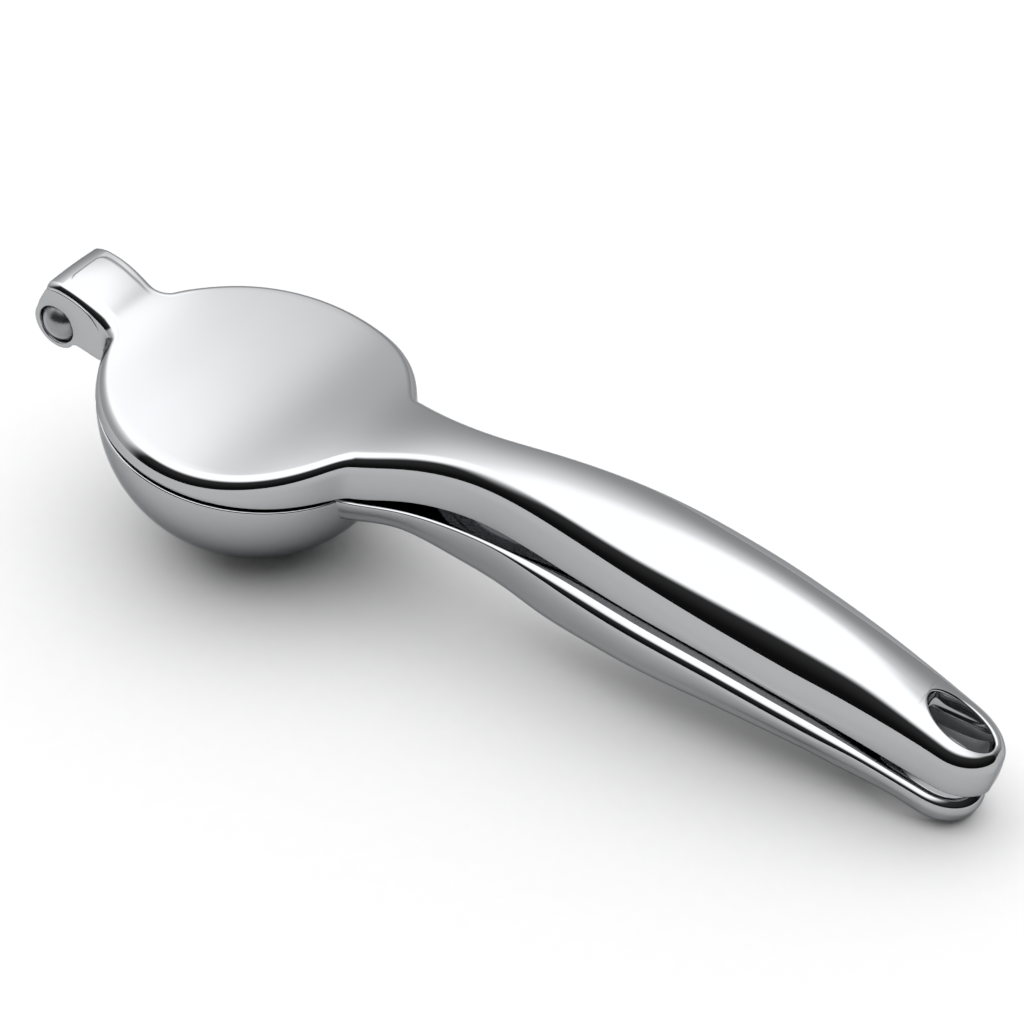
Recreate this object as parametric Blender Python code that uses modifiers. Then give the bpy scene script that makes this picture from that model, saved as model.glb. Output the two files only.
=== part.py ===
"""Hand citrus press: two chrome-plated cast arms hinged at one end.

Everything is drawn in the arm frame: its origin is the centre of the bowl on the parting plane,
+X runs from the hinge to the tip of the handles and +Z is up. The empty named rest_tilt then leans
that frame so that the closed press stands on the foot of its bowl and on the tip of its lower handle.
"""
import math

import bmesh
import bpy
from mathutils import Matrix, Vector

MM = 0.001

# Driving sizes, mm
BOWL_RADIUS = 35.0           # outside of the bowl, and of the lid above it
BOWL_WALL = 3.0
HANDLE_LENGTH = 146.0        # from the lid's edge to the tip of the upper arm
HANDLE_WIDTH = 23.8          # widest place of both handles
NECK_WIDTH = 14.8            # narrowest place, just behind the lid
TIP_WIDTH = 17.2             # where the round nose of the handle begins
NOSE_LENGTH = 10.0
HINGE_REACH = 14.3           # from the lid's edge back to the hinge axis

# Parting gap and assembly clearances, mm
PARTING_GAP = 0.8            # between the lid and the rim of the bowl
FIT = 0.3                    # between pieces that touch in the real press
SWING_GAP = 0.7              # between the cheeks and the shoulder that they turn against

# Press arm, mm
LID_WALL = 1.6               # height of the lid's side at its thinnest place
LID_FILLET = 3.4             # rounding from the sides of the arm up to its top
ARM_HEIGHT = 8.8             # height of the handle's side where it is deepest
TIP_HEIGHT = 6.0
HANDLE_RISE = 11.6           # how far the upper arm's underside arches over the parting plane
TIP_RISE = 4.0
CREST = 1.2                  # how far the handle's top is domed above its edge
LOWER_EDGE = 0.5             # small chamfer round the underside
HANG_HOLE_LENGTH = 15.5
HANG_HOLE_WIDTH = 9.4
HANG_HOLE_RIM = 2.6          # metal between the hole and the tip

# Bowl arm, mm
RIM_WIDTH = 1.2
GRIP_GAP = 5.4               # between the two handles at mid length
NECK_GAP = 2.5               # between them just behind the lid
TIP_GAP = 4.2
LOWER_DEPTH = 11.4           # depth of the lower handle where it is deepest
LOWER_NECK_DEPTH = 6.3
LOWER_TIP_DEPTH = 6.4
LOWER_SETBACK = 1.0          # the lower handle ends this much short of the upper one
LOWER_BELLY = 3.0            # rounding under the lower handle
SLOT_LENGTH = 18.0
SLOT_WIDTH = 10.4
SLOT_RIM = 2.4
FOOT_RADIUS = 6.0            # flat place that the bowl stands on
DRAIN_COUNT = 8
DRAIN_WIDTH = 2.6
DRAIN_LENGTH = 8.0
DRAIN_CIRCLE = 17.0          # radius to the middle of the drain slots

# Hinge, mm
PIN_DIAMETER = 4.0
PIN_HEAD_DIAMETER = 7.8
PIN_HEAD_HEIGHT = 2.2
CHEEK_WALL = 2.8             # thickness of each cheek of the fork
KNUCKLE_RADIUS = 6.1         # round end of the cheeks
TONGUE_RADIUS = 5.4          # round end of the bowl arm's tongue, between the cheeks
TONGUE_WIDTH = 10.4
WASHER_THICKNESS = 0.6
WASHER_DIAMETER = 9.6
BUSH_WALL = 0.5
HEAD_POCKET_DIAMETER = 9.2
HEAD_POCKET_DEPTH = 1.7
HOOD_HEIGHT = 7.2            # of the hood's side above the hinge axis

# Press dome, mm
SQUEEZE_SPACE = 4.0          # left between the dome and the bowl for the peel
DOME_WALL = 2.4
DOME_FLANGE = 1.6
BOSS_RADIUS = 4.5
SCREW_DIAMETER = 4.0
SCREW_HEAD_DIAMETER = 8.0
SCREW_HEAD_HEIGHT = 2.4
SCREW_GRIP = 5.0             # length of thread in the lid's boss

# Places worked out from the sizes above, mm
HINGE_X = -BOWL_RADIUS - HINGE_REACH
TIP_X = BOWL_RADIUS + HANDLE_LENGTH
LOWER_TIP_X = TIP_X - LOWER_SETBACK
HOOD_BACK_X = HINGE_X - KNUCKLE_RADIUS / 2
RIM_Z = -PARTING_GAP / 2
LID_Z = PARTING_GAP / 2
BOWL_INNER = BOWL_RADIUS - BOWL_WALL
CHEEK_INNER = TONGUE_WIDTH / 2 + WASHER_THICKNESS + 2 * FIT
HOOD_WIDTH = 2 * (CHEEK_INNER + CHEEK_WALL)
CHEEK_REACH = HINGE_REACH - SWING_GAP
PIN_BORE = PIN_DIAMETER + 2 * FIT
BUSH_DIAMETER = PIN_BORE + 2 * BUSH_WALL
HEAD_SEAT_Y = HOOD_WIDTH / 2 - HEAD_POCKET_DEPTH + FIT
DOME_RADIUS = BOWL_INNER - SQUEEZE_SPACE
DOME_TOP_Z = LID_Z - FIT
DOME_PAD_Z = -DOME_RADIUS + SCREW_HEAD_HEIGHT + 2 * DOME_WALL
BOSS_Z = DOME_PAD_Z + FIT
SCREW_SEAT_Z = DOME_PAD_Z - DOME_WALL
BOWL_HEIGHT = math.sqrt(BOWL_RADIUS ** 2 - FOOT_RADIUS ** 2)

STATION_STEP = 3.6           # spacing of the sections along an arm's outline
ROUND_SEGMENTS = 40          # round the bowl and the dome
SMALL_SEGMENTS = 20          # round the hinge pieces


def collection(name):
    made = bpy.data.collections.new(name)
    bpy.context.scene.collection.children.link(made)
    return made


def material(name, color, roughness, metallic):
    made = bpy.data.materials.new(name)
    made.use_nodes = True
    shader = made.node_tree.nodes["Principled BSDF"]
    shader.inputs["Base Color"].default_value = (*color, 1.0)
    shader.inputs["Roughness"].default_value = roughness
    shader.inputs["Metallic"].default_value = metallic
    return made


def add_object(name, mesh, where, parent, surface=None):
    """Links an object whose mesh is drawn in the arm frame, whatever empty carries it."""
    made = bpy.data.objects.new(name, mesh)
    where.objects.link(made)
    made.parent = parent
    if parent is not None:
        made.location = -Vector(parent["arm_place"])
    if surface is not None:
        mesh.materials.append(surface)
    else:
        made.hide_render = True
        made.display_type = "WIRE"
    return made


def shade_round(made):
    made.data.shade_smooth()
    made.data.set_sharp_from_angle(angle=math.radians(35))
    return made


def boolean(target, tool, operation):
    cut = target.modifiers.new(tool.name, "BOOLEAN")
    cut.operation = operation
    cut.solver = "EXACT"
    cut.object = tool


def smooth_curve(points, x):
    """Height at x of a smooth curve through points (x, height), held level beyond its ends."""
    if x <= points[0][0]:
        return points[0][1]
    if x >= points[-1][0]:
        return points[-1][1]
    slopes = [0.0]
    for before, here, after in zip(points, points[1:], points[2:]):
        left = (here[1] - before[1]) / (here[0] - before[0])
        right = (after[1] - here[1]) / (after[0] - here[0])
        slopes.append(0.0 if left * right <= 0 else 2 * left * right / (left + right))
    slopes.append((points[-1][1] - points[-2][1]) / (points[-1][0] - points[-2][0]))
    for i in range(len(points) - 1):
        (x0, h0), (x1, h1) = points[i], points[i + 1]
        if x <= x1:
            span = x1 - x0
            t = (x - x0) / span
            return ((2 * t ** 3 - 3 * t ** 2 + 1) * h0 + (t ** 3 - 2 * t ** 2 + t) * span * slopes[i]
                    + (3 * t ** 2 - 2 * t ** 3) * h1 + (t ** 3 - t ** 2) * span * slopes[i + 1])


def along_handle(share):
    return BOWL_RADIUS + share * HANDLE_LENGTH


def blended_max(a, b, reach):
    """The larger of two widths, with the corner where they cross filled to a soft curve."""
    overlap = max(reach - abs(a - b), 0.0) / reach
    return max(a, b) + overlap * overlap * reach / 4


def handle_half_width(x, tip_x):
    neck, wide, end = NECK_WIDTH / 2, HANDLE_WIDTH / 2, TIP_WIDTH / 2
    nose_x = tip_x - NOSE_LENGTH
    points = [(along_handle(0.0), 1.8 * neck), (along_handle(0.07), 1.24 * neck), (along_handle(0.16), neck),
              (along_handle(0.36), 0.4 * neck + 0.6 * wide), (along_handle(0.58), wide),
              (along_handle(0.78), 0.4 * end + 0.6 * wide), (nose_x, end)]
    width = smooth_curve(points, x)
    if x > nose_x:
        width *= math.sqrt(max(1 - ((x - nose_x) / NOSE_LENGTH) ** 2, 0.0))
    return width


def press_half_width(x):
    lid = math.sqrt(max(BOWL_RADIUS ** 2 - x * x, 0.0))
    other = HOOD_WIDTH / 2 if x < 0 else handle_half_width(x, TIP_X)
    return blended_max(lid, other, 0.35 * NECK_WIDTH)


def lower_half_width(x):
    return handle_half_width(x, LOWER_TIP_X)


def press_underside(x):
    rise = HANDLE_RISE
    return smooth_curve([(BOWL_RADIUS * 0.94, LID_Z), (along_handle(0.07), 0.37 * rise),
                         (along_handle(0.16), 0.66 * rise), (along_handle(0.25), 0.87 * rise),
                         (along_handle(0.42), rise), (along_handle(0.58), 0.95 * rise),
                         (along_handle(0.80), 0.5 * (TIP_RISE + rise)), (TIP_X, TIP_RISE)], x)


def press_wall_top(x):
    def on_handle(share, part):
        place = along_handle(share)
        return place, press_underside(place) + part

    low = LID_Z + LID_WALL
    deep = ARM_HEIGHT
    return smooth_curve([(HINGE_X, HOOD_HEIGHT), (0.5 * (HINGE_X - BOWL_RADIUS), 0.4 * HOOD_HEIGHT + 0.6 * low),
                         (-0.8 * BOWL_RADIUS, low), (0.0, low), (0.5 * BOWL_RADIUS, 0.82 * low + 0.24 * deep),
                         (0.86 * BOWL_RADIUS, 0.45 * low + 0.7 * deep), on_handle(0.07, 0.93 * deep),
                         on_handle(0.16, 0.95 * deep), on_handle(0.25, 0.98 * deep), on_handle(0.42, deep),
                         on_handle(0.60, deep), on_handle(0.80, 0.5 * (deep + TIP_HEIGHT)),
                         on_handle(1.0, TIP_HEIGHT)], x)


def lower_top(x):
    gap = smooth_curve([(BOWL_RADIUS, PARTING_GAP), (along_handle(0.06), NECK_GAP),
                        (along_handle(0.18), 0.93 * GRIP_GAP), (along_handle(0.5), GRIP_GAP),
                        (TIP_X, TIP_GAP)], x)
    return press_underside(x) - gap


def lower_underside(x):
    depth = smooth_curve([(along_handle(0.05), LOWER_NECK_DEPTH), (along_handle(0.34), LOWER_DEPTH),
                          (along_handle(0.55), 0.9 * LOWER_DEPTH), (along_handle(0.8), 1.05 * LOWER_TIP_DEPTH),
                          (TIP_X, LOWER_TIP_DEPTH)], x)
    return lower_top(x) - depth


def outline_stations(start_x, tip_x, half_width, hole_left, hole_right, hole_half):
    """Sections along one side of an arm: outer point, inward direction, and the point on the middle
    line or on the edge of the hole that the section runs in to."""
    fine = [(start_x, half_width(start_x))]
    steps = 1200
    for i in range(1, steps + 1):
        x = start_x + (tip_x - start_x) * math.sin(0.5 * math.pi * i / steps)
        fine.append((x, half_width(x) if i < steps else 0.0))
    lengths = [0.0]
    for a, b in zip(fine, fine[1:]):
        lengths.append(lengths[-1] + math.dist(a, b))
    count = max(round(lengths[-1] / STATION_STEP), 8)
    hole_start = next(length for length, point in zip(lengths, fine) if point[0] >= hole_left)
    goals = [lengths[-1] * i / count for i in range(count + 1)]
    nearest = min(range(1, count), key=lambda i: abs(goals[i] - hole_start))
    goals[nearest] = hole_start

    stations = []
    index = 0
    for number, goal in enumerate(goals):
        while index < len(fine) - 2 and lengths[index + 1] < goal:
            index += 1
        span = lengths[index + 1] - lengths[index]
        t = min(max((goal - lengths[index]) / span, 0.0), 1.0)
        a, b = fine[index], fine[index + 1]
        outer = (a[0] + (b[0] - a[0]) * t, a[1] + (b[1] - a[1]) * t)
        run = math.dist(a, b)
        inward = ((b[1] - a[1]) / run, -(b[0] - a[0]) / run)
        if number == 0:
            inward = (0.0, -1.0)
        if number == count:
            outer, inward = (tip_x, 0.0), (-1.0, 0.0)
        if number < nearest:
            inner = (outer[0], 0.0)
        else:
            turn = math.pi * (goal - hole_start) / (lengths[-1] - hole_start)
            middle, reach = 0.5 * (hole_left + hole_right), 0.5 * (hole_right - hole_left)
            inner = (middle - reach * math.cos(turn), hole_half * math.sin(turn) if number < count else 0.0)
        stations.append((outer, inward, inner, number >= nearest))
    return stations


def lofted_half(name, stations, section):
    """Mesh of the half of an arm on the +Y side, open on the plane y = 0. section(x) gives the outer
    points as (inset, height), underside first, and then the rise of the top towards the middle."""
    bm = bmesh.new()
    rings = []
    for outer, inward, inner, _ in stations:
        edge, crest = section(outer[0])
        ring = [(inner[0], inner[1], edge[0][1])]
        for inset, height in edge:
            y = outer[1] + inward[1] * inset
            ring.append((outer[0] + inward[0] * inset, max(y, 0.0), height))
        last = ring[-1]
        for share in (0.5, 1.0):
            ring.append((last[0] + (inner[0] - last[0]) * share, last[1] + (inner[1] - last[1]) * share,
                         last[2] + crest * (1 - (1 - share) ** 2)))
        rings.append([bm.verts.new(Vector(point) * MM) for point in ring])
    for here, after, station in zip(rings, rings[1:], stations):
        for k in range(len(here) - 1):
            bm.faces.new((here[k], here[k + 1], after[k + 1], after[k]))
        if station[3]:
            bm.faces.new((here[-1], here[0], after[0], after[-1]))
    bm.faces.new(list(reversed(rings[0])))
    bmesh.ops.remove_doubles(bm, verts=bm.verts, dist=1e-7)
    bmesh.ops.recalc_face_normals(bm, faces=bm.faces)
    mesh = bpy.data.meshes.new(name)
    bm.to_mesh(mesh)
    bm.free()
    return mesh


def mirrored(made):
    """Completes a half arm across the plane y = 0."""
    mirror = made.modifiers.new("mirror", "MIRROR")
    mirror.use_axis = (False, True, False)
    mirror.use_clip = True
    mirror.merge_threshold = 0.00001
    return made


def cylinder_mesh(name, radius, start, end, segments=SMALL_SEGMENTS):
    """Solid cylinder between two points of the arm frame."""
    a, b = Vector(start) * MM, Vector(end) * MM
    bm = bmesh.new()
    bmesh.ops.create_cone(bm, cap_ends=True, segments=segments, radius1=radius * MM, radius2=radius * MM,
                          depth=(b - a).length)
    turn = Vector((0, 0, 1)).rotation_difference(b - a).to_matrix().to_4x4()
    bmesh.ops.transform(bm, matrix=Matrix.Translation((a + b) / 2) @ turn, verts=bm.verts)
    mesh = bpy.data.meshes.new(name)
    bm.to_mesh(mesh)
    bm.free()
    return mesh


def box_mesh(name, low, high, turn=0.0):
    """Box between two corners, then turned about the Z axis of the arm frame."""
    low, high = Vector(low) * MM, Vector(high) * MM
    bm = bmesh.new()
    bmesh.ops.create_cube(bm, size=1.0)
    bmesh.ops.scale(bm, vec=high - low, verts=bm.verts)
    bmesh.ops.translate(bm, vec=(low + high) / 2, verts=bm.verts)
    bmesh.ops.rotate(bm, matrix=Matrix.Rotation(turn, 3, "Z"), verts=bm.verts)
    mesh = bpy.data.meshes.new(name)
    bm.to_mesh(mesh)
    bm.free()
    return mesh


def plate_mesh(name, outline, half_width):
    """Flat plate across the arm: an outline in X and Z, drawn out to both sides of y = 0."""
    bm = bmesh.new()
    verts = [bm.verts.new(Vector((x, -half_width, z)) * MM) for x, z in outline]
    face = bm.faces.new(verts)
    grown = bmesh.ops.extrude_face_region(bm, geom=[face])["geom"]
    moved = [part for part in grown if isinstance(part, bmesh.types.BMVert)]
    bmesh.ops.translate(bm, vec=(0, 2 * half_width * MM, 0), verts=moved)
    bmesh.ops.recalc_face_normals(bm, faces=bm.faces)
    mesh = bpy.data.meshes.new(name)
    bm.to_mesh(mesh)
    bm.free()
    return mesh


def turned_mesh(name, profile, segments, axis="Z", place=(0.0, 0.0, 0.0)):
    """Solid turned about an axis: profile is a closed line of (radius, height) points."""
    bm = bmesh.new()
    verts = [bm.verts.new((radius * MM, 0.0, height * MM)) for radius, height in profile]
    pairs = list(zip(verts, verts[1:] + verts[:1]))
    edges = [bm.edges.new(pair) for pair in pairs if pair[0].co.x > 1e-9 or pair[1].co.x > 1e-9]
    bmesh.ops.spin(bm, geom=verts + edges, cent=(0, 0, 0), axis=(0, 0, 1), angle=2 * math.pi,
                   steps=segments, use_merge=True)
    bmesh.ops.remove_doubles(bm, verts=bm.verts, dist=1e-7)
    bmesh.ops.recalc_face_normals(bm, faces=bm.faces)
    if axis == "-Y":
        bmesh.ops.rotate(bm, matrix=Matrix.Rotation(math.pi / 2, 3, "X"), verts=bm.verts)
    if axis == "+Y":
        bmesh.ops.rotate(bm, matrix=Matrix.Rotation(-math.pi / 2, 3, "X"), verts=bm.verts)
    bmesh.ops.translate(bm, vec=Vector(place) * MM, verts=bm.verts)
    mesh = bpy.data.meshes.new(name)
    bm.to_mesh(mesh)
    bm.free()
    return mesh


def arc(radius, start, end, count, centre=(0.0, 0.0)):
    """Points on a circle from one angle to another, in degrees from the first axis."""
    points = []
    for i in range(count + 1):
        angle = math.radians(start + (end - start) * i / count)
        points.append((centre[0] + radius * math.cos(angle), centre[1] + radius * math.sin(angle)))
    return points


def press_section(x):
    under, wall = press_underside(x), press_wall_top(x)
    fillet = min(LID_FILLET, 0.45 * NECK_WIDTH)
    edge = [(LOWER_EDGE, under), (0.0, under + LOWER_EDGE), (0.0, wall),
            (0.29 * fillet, wall + 0.71 * fillet), (fillet, wall + fillet)]
    return edge, CREST


def lower_section(x):
    under, top = lower_underside(x), lower_top(x)
    edge = [(LOWER_BELLY, under), (0.29 * LOWER_BELLY, under + 0.29 * LOWER_BELLY), (0.0, under + LOWER_BELLY),
            (0.0, top - LOWER_EDGE), (LOWER_EDGE, top)]
    return edge, 0.0


def press_arm(parts, cutters, hinge, surface):
    hole_right = TIP_X - HANG_HOLE_RIM
    stations = outline_stations(HOOD_BACK_X, TIP_X, press_half_width, hole_right - HANG_HOLE_LENGTH,
                                hole_right, HANG_HOLE_WIDTH / 2)
    made = mirrored(add_object("press_arm", lofted_half("press_arm", stations, press_section),
                               parts, hinge, surface))
    pin = (HINGE_X, 0.0)
    low = -0.6 * KNUCKLE_RADIUS
    cheek = (arc(CHEEK_REACH, math.degrees(math.asin(low / CHEEK_REACH)), 6.0, 4, pin)
             + [(HINGE_X + 0.8 * CHEEK_REACH, 0.5 * HOOD_HEIGHT), (HOOD_BACK_X, HOOD_HEIGHT)]
             + arc(KNUCKLE_RADIUS, 180.0, 308.0, 10, pin)
             + [(HINGE_X + KNUCKLE_RADIUS, 0.8 * low)])
    boolean(made, add_object("cheek_block", plate_mesh("cheek_block", cheek, HOOD_WIDTH / 2), cutters, hinge),
            "UNION")
    boss_top = 0.5 * (LID_Z + LID_WALL)
    boolean(made, add_object("dome_boss", cylinder_mesh("dome_boss", BOSS_RADIUS, (0, 0, BOSS_Z),
                                                        (0, 0, boss_top)), cutters, hinge), "UNION")

    pocket = TONGUE_RADIUS + SWING_GAP
    slot = (arc(pocket, 0.0, 90.0, 5, pin)
            + [(HOOD_BACK_X - KNUCKLE_RADIUS, pocket), (HOOD_BACK_X - KNUCKLE_RADIUS, -2 * KNUCKLE_RADIUS),
               (-BOWL_RADIUS + RIM_WIDTH, -2 * KNUCKLE_RADIUS), (-BOWL_RADIUS + RIM_WIDTH, LID_Z),
               (HINGE_X + pocket, LID_Z)])
    boolean(made, add_object("fork_slot", plate_mesh("fork_slot", slot[1:], CHEEK_INNER), cutters, hinge),
            "DIFFERENCE")
    side = HOOD_WIDTH / 2
    boolean(made, add_object("pin_bore", cylinder_mesh("pin_bore", PIN_BORE / 2, (HINGE_X, -side - 1, 0),
                                                       (HINGE_X, side + 1, 0)), cutters, hinge), "DIFFERENCE")
    for label, sign in (("near", -1), ("far", 1)):
        pocket_mesh = cylinder_mesh("head_pocket_" + label, HEAD_POCKET_DIAMETER / 2,
                                    (HINGE_X, sign * (side - HEAD_POCKET_DEPTH), 0),
                                    (HINGE_X, sign * (side + 1), 0))
        boolean(made, add_object("head_pocket_" + label, pocket_mesh, cutters, hinge), "DIFFERENCE")
    thread = cylinder_mesh("boss_thread", SCREW_DIAMETER / 2 + FIT, (0, 0, BOSS_Z - 1),
                           (0, 0, BOSS_Z + SCREW_GRIP + 2 * FIT))
    boolean(made, add_object("boss_thread", thread, cutters, hinge), "DIFFERENCE")
    return shade_round(made)


def bowl_arm(parts, cutters, frame, surface):
    hole_right = LOWER_TIP_X - SLOT_RIM
    start_x = BOWL_INNER - RIM_WIDTH
    stations = outline_stations(start_x, LOWER_TIP_X, lower_half_width, hole_right - SLOT_LENGTH,
                                hole_right, SLOT_WIDTH / 2)
    rim_angle = math.degrees(math.asin(RIM_Z / BOWL_RADIUS))
    profile = arc(BOWL_RADIUS, rim_angle, -90.0, 10)
    profile[-1] = (0.0, -BOWL_RADIUS)
    profile.append((0.0, RIM_Z))
    made = add_object("bowl_arm", turned_mesh("bowl_arm", profile, ROUND_SEGMENTS), parts, frame, surface)

    handle = add_object("lower_handle", lofted_half("lower_handle", stations, lower_section), cutters, frame)
    boolean(made, mirrored(handle), "UNION")
    pin = (HINGE_X, 0.0)
    buried_x = -BOWL_RADIUS + 0.6 * BOWL_WALL
    shoulder = box_mesh("shoulder", (HINGE_X + 0.8 * HINGE_REACH, -HOOD_WIDTH / 2, -1.3 * TONGUE_RADIUS),
                        (buried_x, HOOD_WIDTH / 2, RIM_Z))
    boolean(made, add_object("shoulder", shoulder, cutters, frame), "UNION")
    swing = cylinder_mesh("cheek_sweep", HINGE_REACH, (HINGE_X, -HOOD_WIDTH, 0), (HINGE_X, HOOD_WIDTH, 0), 48)
    boolean(made, add_object("cheek_sweep", swing, cutters, frame), "DIFFERENCE")
    tongue = ([(buried_x, -TONGUE_RADIUS), (buried_x, RIM_Z), (HINGE_X + TONGUE_RADIUS, RIM_Z)]
              + arc(TONGUE_RADIUS, 0.0, 270.0, 18, pin)[1:])
    boolean(made, add_object("tongue", plate_mesh("tongue", tongue, TONGUE_WIDTH / 2), cutters, frame), "UNION")

    inside = arc(BOWL_INNER, 90.0, -90.0, 16)
    inside[0], inside[-1] = (0.0, BOWL_INNER), (0.0, -BOWL_INNER)
    boolean(made, add_object("bowl_inside", turned_mesh("bowl_inside", inside, ROUND_SEGMENTS),
                             cutters, frame), "DIFFERENCE")
    for number in range(DRAIN_COUNT):
        drain = box_mesh("drain_%d" % number,
                         (DRAIN_CIRCLE - DRAIN_LENGTH / 2, -DRAIN_WIDTH / 2, -BOWL_RADIUS - 1),
                         (DRAIN_CIRCLE + DRAIN_LENGTH / 2, DRAIN_WIDTH / 2, -BOWL_RADIUS / 3),
                         math.radians(360 * (number + 0.5) / DRAIN_COUNT))
        boolean(made, add_object("drain_%d" % number, drain, cutters, frame), "DIFFERENCE")
    bore = cylinder_mesh("bush_bore", BUSH_DIAMETER / 2 + FIT, (HINGE_X, -HOOD_WIDTH, 0), (HINGE_X, HOOD_WIDTH, 0))
    boolean(made, add_object("bush_bore", bore, cutters, frame), "DIFFERENCE")
    ground = cylinder_mesh("ground_flat", BOWL_RADIUS / 2, (0, 0, -10), (0, 0, 0))
    boolean(made, add_object("ground_flat", ground, cutters, None), "DIFFERENCE")
    return shade_round(made)


def press_dome(parts, hinge, surface):
    inner = DOME_RADIUS - DOME_WALL
    pad = SCREW_HEAD_DIAMETER / 2 + DOME_WALL
    hole, sink = SCREW_DIAMETER / 2 + FIT, SCREW_HEAD_DIAMETER / 2 + FIT
    profile = arc(DOME_RADIUS, math.degrees(math.asin(DOME_TOP_Z / DOME_RADIUS)),
                  -math.degrees(math.acos(sink / DOME_RADIUS)), 9)
    profile += [(sink, SCREW_SEAT_Z), (hole, SCREW_SEAT_Z), (hole, DOME_PAD_Z), (pad, DOME_PAD_Z)]
    profile += arc(inner, -math.degrees(math.acos(pad / inner)),
                   math.degrees(math.asin(DOME_TOP_Z / inner)), 7)
    mesh = turned_mesh("press_dome", profile, ROUND_SEGMENTS)
    return shade_round(add_object("press_dome", mesh, parts, hinge, surface))


def dome_screw(parts, hinge, surface):
    head, shank = SCREW_HEAD_DIAMETER / 2, SCREW_DIAMETER / 2
    under = SCREW_SEAT_Z - FIT
    foot = under - SCREW_HEAD_HEIGHT
    socket, depth = 0.4 * head, 0.5 * SCREW_HEAD_HEIGHT
    profile = [(0.0, BOSS_Z + SCREW_GRIP), (shank, BOSS_Z + SCREW_GRIP), (shank, under), (head, under),
               (head, foot + 0.3 * SCREW_HEAD_HEIGHT), (0.8 * head, foot), (socket, foot),
               (socket, foot + depth), (0.0, foot + depth)]
    mesh = turned_mesh("dome_screw", profile, SMALL_SEGMENTS)
    return shade_round(add_object("dome_screw", mesh, parts, hinge, surface))


def pin_dome(radius, height, count):
    """Outer half of a domed head: from its edge to its crown, as (radius, height) points."""
    ball = (radius ** 2 + height ** 2) / (2 * height)
    spread = math.degrees(math.asin(radius / ball))
    points = arc(ball, 90.0 - spread, 90.0, count, (0.0, height - ball))
    points[-1] = (0.0, height)
    return points


def hinge_pin(parts, hinge, surface):
    edge = 0.3 * PIN_HEAD_HEIGHT
    head = [(r, h + edge) for r, h in pin_dome(PIN_HEAD_DIAMETER / 2, PIN_HEAD_HEIGHT - edge, 4)]
    far_end = -2 * HEAD_SEAT_Y - PIN_HEAD_HEIGHT / 4
    profile = [(0.0, far_end), (PIN_DIAMETER / 2, far_end), (PIN_DIAMETER / 2, 0.0),
               (PIN_HEAD_DIAMETER / 2, 0.0)] + head
    mesh = turned_mesh("hinge_pin", profile, SMALL_SEGMENTS, "-Y", (HINGE_X, -HEAD_SEAT_Y, 0))
    return shade_round(add_object("hinge_pin", mesh, parts, hinge, surface))


def pin_cap(parts, hinge, surface):
    edge = 0.3 * PIN_HEAD_HEIGHT
    head = [(r, h + edge) for r, h in pin_dome(PIN_HEAD_DIAMETER / 2, PIN_HEAD_HEIGHT - edge, 4)]
    depth = PIN_HEAD_HEIGHT / 4 + FIT
    profile = [(0.0, depth), (PIN_BORE / 2, depth), (PIN_BORE / 2, 0.0), (PIN_HEAD_DIAMETER / 2, 0.0)] + head
    mesh = turned_mesh("pin_cap", profile, SMALL_SEGMENTS, "+Y", (HINGE_X, HEAD_SEAT_Y, 0))
    return shade_round(add_object("pin_cap", mesh, parts, hinge, surface))


def ring(name, inner, outer, low, high, parts, parent, surface):
    """Washer or bush on the hinge axis, between two places across the hinge."""
    mesh = turned_mesh(name, [(inner, low), (outer, low), (outer, high), (inner, high)], SMALL_SEGMENTS,
                       "+Y", (HINGE_X, 0, 0))
    return shade_round(add_object(name, mesh, parts, parent, surface))


def arm_empty(name, where, parent, place):
    made = bpy.data.objects.new(name, None)
    where.objects.link(made)
    made.parent = parent
    made.location = Vector(place) * MM
    made["arm_place"] = tuple(Vector(place) * MM) if parent is not None else (0.0, 0.0, 0.0)
    return made


def rest_tilt():
    """Lean at which the lower handle's underside first meets the surface that the bowl stands on."""
    last_x = LOWER_TIP_X - LOWER_BELLY
    steps = 60
    places = [along_handle(0.5) + (last_x - along_handle(0.5)) * i / steps for i in range(steps + 1)]
    touching = [(x, lower_underside(x)) for x in places] + [(last_x, lower_underside(LOWER_TIP_X))]
    return min(math.atan2(z, x) + math.asin(BOWL_HEIGHT / math.hypot(x, z)) for x, z in touching)


def build():
    for leftover in list(bpy.data.objects):
        bpy.data.objects.remove(leftover)
    parts = collection("citrus_press")
    cutters = collection("cutters")
    frame = arm_empty("rest_tilt", parts, None, (0.0, 0.0, BOWL_HEIGHT))
    frame.rotation_euler = (0.0, rest_tilt(), 0.0)
    hinge = arm_empty("press_hinge", parts, frame, (HINGE_X, 0.0, 0.0))

    chrome = material("chrome_plate", (0.60, 0.60, 0.60), 0.05, 1.0)
    steel = material("stainless_steel", (0.50, 0.50, 0.50), 0.2, 1.0)
    nylon = material("white_acetal", (0.75, 0.75, 0.73), 0.45, 0.0)

    bowl_arm(parts, cutters, frame, chrome)
    press_arm(parts, cutters, hinge, chrome)
    press_dome(parts, hinge, chrome)
    dome_screw(parts, hinge, steel)
    hinge_pin(parts, hinge, steel)
    pin_cap(parts, hinge, steel)
    tongue = TONGUE_WIDTH / 2
    ring("hinge_bush", PIN_BORE / 2, BUSH_DIAMETER / 2, -tongue, tongue, parts, frame, nylon)
    for label, side in (("near", -1), ("far", 1)):
        low, high = tongue + FIT, tongue + FIT + WASHER_THICKNESS
        ends = (low, high) if side > 0 else (-high, -low)
        ring("hinge_washer_" + label, PIN_BORE / 2, WASHER_DIAMETER / 2, *ends, parts, frame, nylon)


build()
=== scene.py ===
import math

import bmesh
import bpy
from mathutils import Matrix, Vector


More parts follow.
